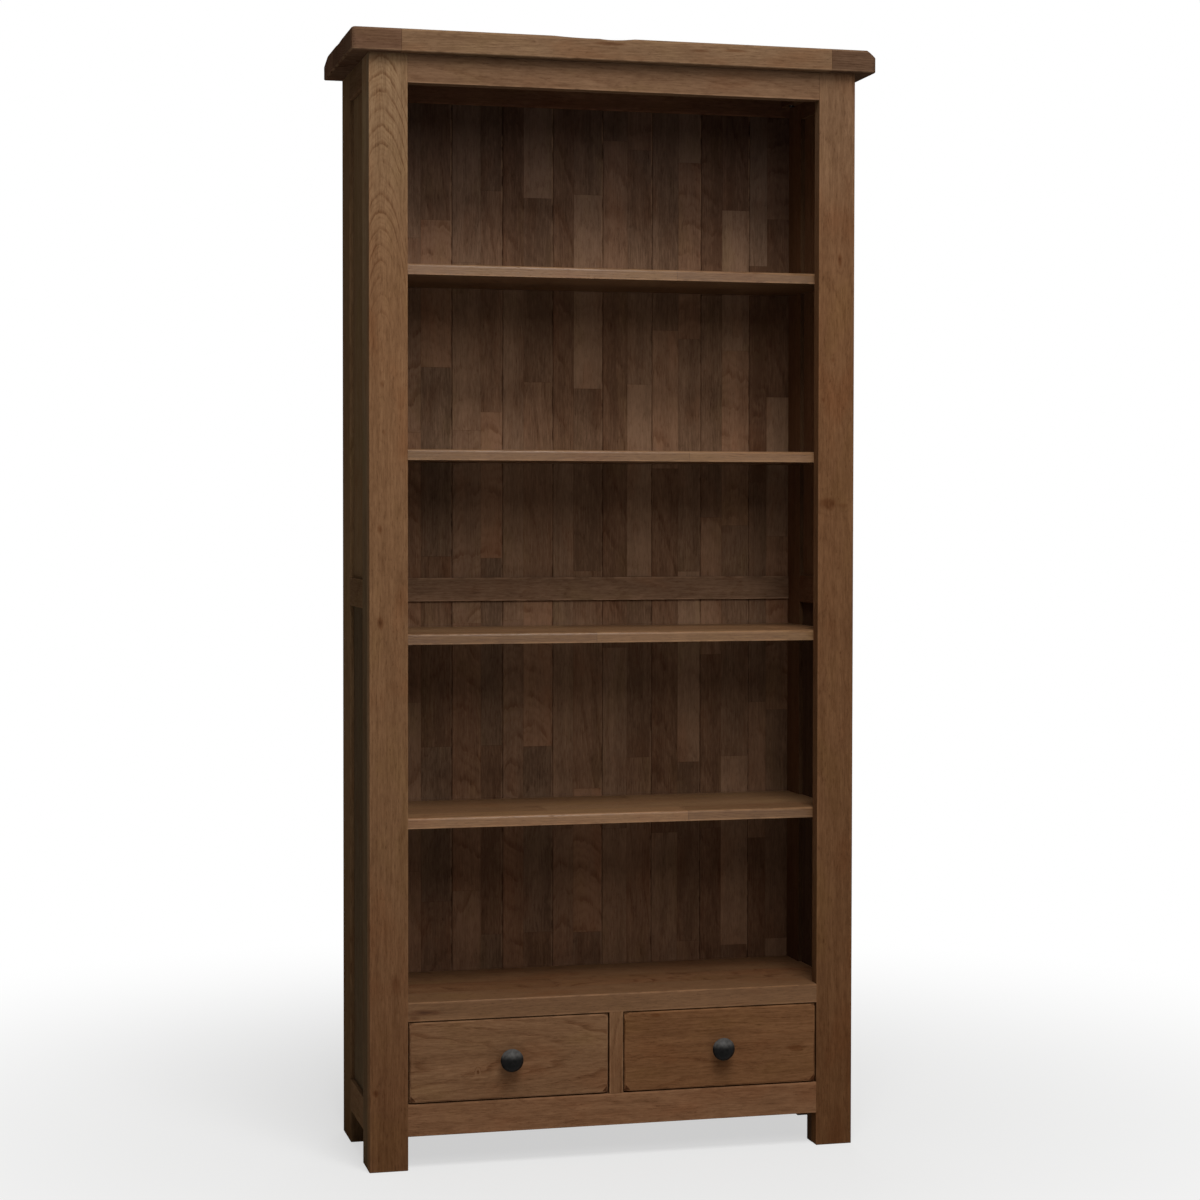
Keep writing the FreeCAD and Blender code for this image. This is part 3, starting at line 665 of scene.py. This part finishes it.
def look_of(node, chance):
    """How one wooden piece looks."""
    side = node.rsplit("_", 1)[-1]
    # Painted light and shade on the front stiles: paler at the top and darker at the foot, and on the left
    # stile a painted sheen on its left-facing flank.
    if node.startswith("front_stile"):
        if side == "left":
            painted_flank_sheen = Facet((-1, 0, 0), (1.40, 1.58, 1.75))
            return Look(UPRIGHT, shade=(1.07, 1.09, 1.07), foot=(0.76, 0.66, 0.61), foot_share=0.35,
                        crown=(1.10, 1.29, 1.42), pith=(-0.012, 0.030), lean=0.15, start=0.44, figure=1.2,
                        wander=0.6, calm=(1.36, 1.55), facets=(painted_flank_sheen,), knots=stile_knots(side), rub_and_sheen=0.15)
        return Look(UPRIGHT, shade=(0.89, 0.84, 0.78), foot=(0.84, 0.80, 0.74), foot_share=0.35,
                    crown=(1.02, 1.19, 1.41), pith=(-0.030, 0.05), lean=0.03, figure=0.4,
                    knots=stile_knots(side), rub_and_sheen=0.15)
    if node == "top_board":
        ends = (Patch(0, -1.0, TOP_JOINTS[0], (0.75, 0.68, 0.72)),
                Patch(0, TOP_JOINTS[1], 1.0, (0.58, 0.56, 0.60)))
        length = TOP_JOINTS[1] - TOP_JOINTS[0]
        staves = shelf_staves(node, (0.07, 0.145, 0.21, 0.27), length, TOP_JOINTS[0], 0.0)
        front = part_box(node)[0].y
        streaks = (
            Knot((-0.019, front, 1.892), 0.0013, 24.0, 0.7), Knot((0.201, front, 1.890), 0.0013, 18.0, 0.6),
            Knot((0.139, front, 1.887), 0.0012, 16.0, 0.5))
        # Painted light: the top's left-facing end is made much paler.
        return Look(FLAT_X, shade=(0.98, 1.14, 1.28), staves=staves, patches=ends, figure=1.0, wander=1.5,
                    knots=streaks, facets=(Facet((-1, 0, 0), (2.0, 2.3, 2.6)),))
    if node == "deck_board":
        staves = shelf_staves(node, (0.08, 0.16, 0.235), 0.9, 0.2)
        streaks = (
            Knot(on_face(-0.333, 0.265), 0.0022, 14.0, 0.8), Knot(on_face(-0.350, 0.254), 0.003, 4.0, 0.7))
        return Look(FLAT_X, DECK, staves=staves, figure=1.0, wander=2.4, knots=streaks)
    if node.startswith("shelf"):
        # Painted light: each shelf lower down is made paler, standing in for the light on its front arris.
        paler = 1.0 + SHELF_PAINTED_LIGHT * (SHELVES - int(side))
        staves = shelf_staves(node, (0.06, 0.13, 0.19), 0.6, chance.uniform(-0.3, 0.3))
        return Look(FLAT_X, SHELF, (paler, paler, paler), staves=staves, figure=0.8, wander=1.6)
    if node == "drawer_left_front":
        return Look(ON_EDGE_X, shade=(1.18, 1.22, 1.25), pith=(0.006, 0.036), lean=0.03, figure=1.0,
                    wander=1.3, knots=(Knot(on_face(-0.241, 0.161), 0.0035, 0.6, 0.7),), facets=CHIPPED)
    if node == "drawer_right_front":
        streaks = (
            Knot(on_face(0.321, 0.173), 0.006, 3.0, 0.6), Knot(on_face(0.069, 0.242), 0.004, 3.0, 0.6))
        return Look(ON_EDGE_X, shade=(1.06, 0.98, 0.88), pith=(-0.035, 0.04), lean=0.02, figure=0.7,
                    wander=1.6, knots=streaks, facets=CHIPPED)
    if node == "bottom_front_rail":
        return Look(ON_EDGE_X, shade=(1.26, 1.24, 1.26), figure=0.5, wander=1.5)
    if node == "top_front_rail":
        return Look(ON_EDGE_X, shade=(0.87, 0.96, 1.08), figure=0.5)
    # Painted shade: the back boards are darker at the foot and much darker at the top.
    if node.startswith("back_board"):
        return Look(UPRIGHT, INSIDE, foot=(0.82, 0.75, 0.72), foot_share=0.45, crown=(0.56, 0.58, 0.67),
                    staves=back_staves(node, chance), figure=0.6, wander=0.8)
    # Painted shade: the back's top rail, under the top, is made darker.
    if node == "back_top_rail":
        return Look(ON_EDGE_X, INSIDE, (0.72, 0.58, 0.54), figure=0.45)
    if node.startswith("back_"):
        return Look(ON_EDGE_X, INSIDE, figure=0.45)
    if "drawer" in node and not node.endswith("divider"):
        return Look(ON_EDGE_Y if node.endswith("_side") else ON_EDGE_X, RAW, figure=0.4)
    # Painted shade on the right-hand pieces: their inner faces and their front-facing steps are darker.
    painted_inner_shade = ()
    if side == "right":
        painted_inner_shade = (Facet((-1, 0, 0), (0.82, 0.68, 0.68)), Facet((0, -1, 0), (0.50, 0.44, 0.44)))
    # Only the left side's arrises are made paler, by rubbed wear and a painted highlight.
    rub_and_sheen = 0.25 if side == "left" else 0.0
    # Painted light and shade on the sides: side stiles paler at the top and a little darker at the foot,
    # rear legs darker at the foot.
    if node.startswith("side_stile"):
        return Look(UPRIGHT, SIDE, (0.88, 1.03, 1.12), foot=(0.85, 0.82, 0.80), crown=(2.1, 2.1, 2.05),
                    crown_share=0.65, figure=0.4, rub_and_sheen=rub_and_sheen, facets=painted_inner_shade)
    if node.startswith("rear_leg"):
        return Look(UPRIGHT, SIDE, (1.20, 1.25, 1.20), foot=(0.62, 0.60, 0.58), figure=0.4, rub_and_sheen=rub_and_sheen,
                    facets=painted_inner_shade)
    # Painted light and shade: upper side panels paler, lower side panels and foot blocks darker.
    if node.startswith("side_upper_panel"):
        return Look(UPRIGHT, SIDE, (1.28, 1.38, 1.35), figure=0.4, rub_and_sheen=rub_and_sheen, facets=painted_inner_shade)
    if node.startswith(("side_lower_panel", "foot_block")):
        return Look(UPRIGHT, SIDE, (0.68, 0.80, 0.88), figure=0.4, rub_and_sheen=rub_and_sheen, facets=painted_inner_shade)
    if node.startswith(("side_", "top_batten")):
        return Look(ON_EDGE_Y, SIDE, figure=0.4, rub_and_sheen=rub_and_sheen, facets=painted_inner_shade)
    return Look(UPRIGHT, shade=(1.09, 1.10, 1.09))


METAL = ("knob", "screw")
wooden = sorted(name for name in nodes if not any(word in name for word in METAL))
for index, node in enumerate(wooden):
    look = look_of(node, random.Random(index))
    dress(node, make_oak("oak_" + node, node, look, index + 1))
    soften(node)


# ---- knobs -----------------------------------------------------------------------------------------

def arc(centre, radius, start, end, steps):
    """Points of an arc in the profile's plane, as (radius, height), angles in degrees."""
    points = []
    for step in range(steps + 1):
        angle = math.radians(start + (end - start) * step / steps)
        points.append((centre[0] + radius * math.cos(angle), centre[1] + radius * math.sin(angle)))
    return points


KNOB_FOOT = 0.011
KNOB_FOOT_EDGE = 0.0022
KNOB_FOOT_ROUND = 0.0016
KNOB_NECK = 0.0065
KNOB_NECK_SHARE = 0.38
KNOB_LOWER_SWEEP = 0.0042
KNOB_UPPER_SWEEP = 0.0062
KNOB_RIM = 0.004
KNOB_RIM_LIFT = 0.0026
KNOB_RIM_ROUND = 0.0022
KNOB_DOME = 0.011


def knob_profile(projection, head):
    """Half outline of a mushroom knob from its foot to its crown, as (radius, height) in metres."""
    low_sweep = (KNOB_NECK + KNOB_LOWER_SWEEP, KNOB_FOOT_EDGE + KNOB_FOOT_ROUND + KNOB_LOWER_SWEEP)
    under = projection - KNOB_DOME - KNOB_RIM
    ball = (head * head + KNOB_DOME * KNOB_DOME) / (2 * KNOB_DOME)
    widest = math.degrees(math.asin(head / ball))
    points = [(KNOB_FOOT, 0.0)]
    points += arc((KNOB_FOOT - KNOB_FOOT_ROUND, KNOB_FOOT_EDGE), KNOB_FOOT_ROUND, 0, 90, 5)
    points += arc(low_sweep, KNOB_LOWER_SWEEP, 270, 180, 8)
    points += [(KNOB_NECK, projection * KNOB_NECK_SHARE)]
    points += arc((KNOB_NECK + KNOB_UPPER_SWEEP, under - KNOB_UPPER_SWEEP), KNOB_UPPER_SWEEP, 180, 100, 8)
    points += arc((head - KNOB_RIM_ROUND, under + KNOB_RIM_LIFT), KNOB_RIM_ROUND, 280, 350, 6)
    points += arc((0.0, projection - ball), ball, 90 - widest, 90, 20)
    return points


TURNED_SEGMENTS = 72


def turned(name, profile, centre):
    """Solid turned about the Y axis at centre, towards -Y."""
    mesh = bpy.data.meshes.new(name)
    shape = bmesh.new()
    rings = []
    for radius, height in profile[:-1]:
        ring = []
        for step in range(TURNED_SEGMENTS):
            angle = 2 * math.pi * step / TURNED_SEGMENTS
            ring.append(shape.verts.new((radius * math.cos(angle), -height, radius * math.sin(angle))))
        rings.append(ring)
    for first, second in zip(rings, rings[1:]):
        for step in range(TURNED_SEGMENTS):
            after = (step + 1) % TURNED_SEGMENTS
            shape.faces.new((first[step], first[after], second[after], second[step]))
    crown = shape.verts.new((0.0, -profile[-1][1], 0.0))
    for step in range(TURNED_SEGMENTS):
        after = (step + 1) % TURNED_SEGMENTS
        shape.faces.new((rings[-1][step], rings[-1][after], crown))
    shape.faces.new(rings[0])
    bmesh.ops.recalc_face_normals(shape, faces=shape.faces)
    for face in shape.faces:
        face.smooth = True
    shape.to_mesh(mesh)
    shape.free()
    piece = put_in_scene(name, mesh)
    piece.location = centre
    return piece


IRON_LUMPS = 0.006
IRON_GRIT = 0.0011
IRON_RELIEF = 0.0003
IRON_DARK = (0.0028, 0.0027, 0.0027, 1.0)
IRON_PALE = (0.0070, 0.0066, 0.0062, 1.0)
IRON_PAINTED_HIGHLIGHT = (0.078, 0.074, 0.070, 1.0)
IRON_RUST = (0.028, 0.020, 0.015, 1.0)


def make_iron():
    """Blackened cast iron, finely pitted, with a painted highlight on its upper side."""
    material, s = new_material("knob_iron")
    coordinates = s.add("ShaderNodeTexCoord").outputs
    place = s.split(coordinates["Object"])
    upward = s.split(coordinates["Normal"])[2]
    coarse = s.speckle(place, IRON_LUMPS, 3.0)
    grit = s.speckle(place, IRON_GRIT, 2.0)
    colour = s.mix(s.ramp(coarse, 0.35, 0.65), IRON_DARK, IRON_PALE)
    # painted highlight: paler where the knob faces up
    painted_highlight = s.math("MULTIPLY", s.ramp(upward, 0.05, 0.55), s.ramp(coarse, 0.3, 0.6, 0.6, 1.0))
    colour = s.mix(painted_highlight, colour, IRON_PAINTED_HIGHLIGHT)
    colour = s.mix(s.ramp(grit, 0.62, 0.75, 0.0, 0.5), colour, IRON_RUST)
    roughness = s.math("MULTIPLY_ADD", coarse, 0.2, 0.30)
    height = s.math("MULTIPLY_ADD", grit, 0.4, coarse)
    finish_surface(s, colour, roughness, height, IRON_RELIEF, Specular_IOR_Level=0.07)
    return material


STEEL_GRAIN = 0.0009
STEEL_RELIEF = 0.00005
STEEL_DARK = (0.060, 0.058, 0.055, 1.0)
STEEL_PALE = (0.110, 0.105, 0.100, 1.0)


def make_steel():
    """Blackened screw steel with a fine, even grain."""
    material, s = new_material("screw_steel")
    place = s.split(s.add("ShaderNodeTexCoord").outputs["Object"])
    fine = s.speckle(place, STEEL_GRAIN, 3.0)
    colour = s.mix(fine, STEEL_DARK, STEEL_PALE)
    roughness = s.math("MULTIPLY_ADD", fine, 0.3, 0.25)
    finish_surface(s, colour, roughness, fine, STEEL_RELIEF, Metallic=1.0)
    return material


IRON = make_iron()
STEEL = make_steel()
for side in ("left", "right"):
    low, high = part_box("drawer_%s_knob" % side)
    centre = (low + high) / 2
    profile = knob_profile(high.y - low.y, (high.x - low.x) / 2)
    knob = turned("turned_knob_" + side, profile, Vector((centre.x, high.y, centre.z)))
    knob.data.materials.append(IRON)
    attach(knob, "drawer_" + side)
    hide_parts("drawer_%s_knob" % side)
    dress("drawer_%s_knob_screw" % side, STEEL)
    dress("drawer_%s_knob" % side, IRON)
dress("top_screws", STEEL)

# ---- floor, world and lamps ------------------------------------------------------------------------

FLOOR_SIZE = 60.0
FLOOR_PALE = (0.70, 0.70, 0.69, 1.0)
FLOOR_GREY = tuple(part * 0.97 for part in FLOOR_PALE[:3]) + (1.0,)
FLOOR_GLOW = 0.60
FLOOR_FADE = (0.3, 2.2)
FLOOR_CLOUDS = 3.0
WHITE = (1, 1, 1, 1)


def shown_white(s):
    """1 for rays from the camera, a mirror or glass, which see pure white, and 0 for those that light."""
    path = s.add("ShaderNodeLightPath").outputs
    seen = s.math("MAXIMUM", path["Is Camera Ray"], path["Is Glossy Ray"])
    return s.math("MAXIMUM", seen, path["Is Transmission Ray"])


def make_floor():
    """Pale studio floor that keeps shadows near the bookcase and fades to the white behind it."""
    mesh = bpy.data.meshes.new("floor")
    half = FLOOR_SIZE / 2
    corners = [(-half, -half, 0), (half, -half, 0), (half, half, 0), (-half, half, 0)]
    mesh.from_pydata(corners, [], [(0, 1, 2, 3)])
    floor = put_in_scene("floor", mesh)
    material, s = new_material("floor")
    place = s.add("ShaderNodeTexCoord").outputs["Object"]
    away = s.add("ShaderNodeVectorMath", {0: place}, operation="LENGTH").outputs[1]
    fade = s.math("MULTIPLY", s.ramp(away, *FLOOR_FADE, FLOOR_GLOW, 1.0), shown_white(s))
    clouds = s.noise(s.vector(*(s.math("MULTIPLY", part, FLOOR_CLOUDS) for part in s.split(place))), 4.0)
    colour = s.mix(clouds, FLOOR_PALE, FLOOR_GREY)
    matt = s.add("ShaderNodeBsdfDiffuse", {"Color": colour})
    white = s.add("ShaderNodeEmission", {"Color": WHITE, "Strength": 1.0})
    blend = s.add("ShaderNodeMixShader", {0: fade, 1: matt.outputs[0], 2: white.outputs[0]})
    s.add("ShaderNodeOutputMaterial", {"Surface": blend.outputs[0]})
    mesh.materials.append(material)


WORLD_COLOUR = (1.0, 0.98, 0.95, 1.0)
WORLD_STRENGTH = 0.15


def make_world():
    """White behind everything, and an even soft light from all round."""
    world = bpy.data.worlds.new("studio")
    world.use_nodes = True
    world.node_tree.nodes.clear()
    bpy.context.scene.world = world
    s = Shader(world.node_tree)
    soft = s.add("ShaderNodeBackground", {"Color": WORLD_COLOUR, "Strength": WORLD_STRENGTH})
    white = s.add("ShaderNodeBackground", {"Color": WHITE, "Strength": 1.0})
    blend = s.add("ShaderNodeMixShader", {0: shown_white(s), 1: soft.outputs[0], 2: white.outputs[0]})
    s.add("ShaderNodeOutputWorld", {"Surface": blend.outputs[0]})


# Name, place, what it points at, width and height, and power in watts.
LAMPS = (
    ("key", (0.0, -2.0, 3.7), (0.0, 0.0, 1.1), (1.5, 1.5), 93.0),
    ("fill", (0.1, -3.2, 2.6), (0.0, 0.0, 1.1), (1.8, 1.2), 32.0),
    ("rear", (0.5, 3.0, 3.0), (0.0, 0.0, 0.9), (1.8, 1.2), 24.0),
)


def make_lamp(name, place, target, size, power):
    """Soft box at place that points at target."""
    data = bpy.data.lights.new(name, "AREA")
    data.shape = "RECTANGLE"
    data.size, data.size_y = size
    data.energy = power
    lamp = put_in_scene(name, data)
    lamp.location = place
    lamp.rotation_euler = (Vector(target) - Vector(place)).to_track_quat("-Z", "Y").to_euler()


make_camera()
make_floor()
make_world()
for lamp in LAMPS:
    make_lamp(*lamp)

view = bpy.context.scene.view_settings
view.view_transform = "Standard"
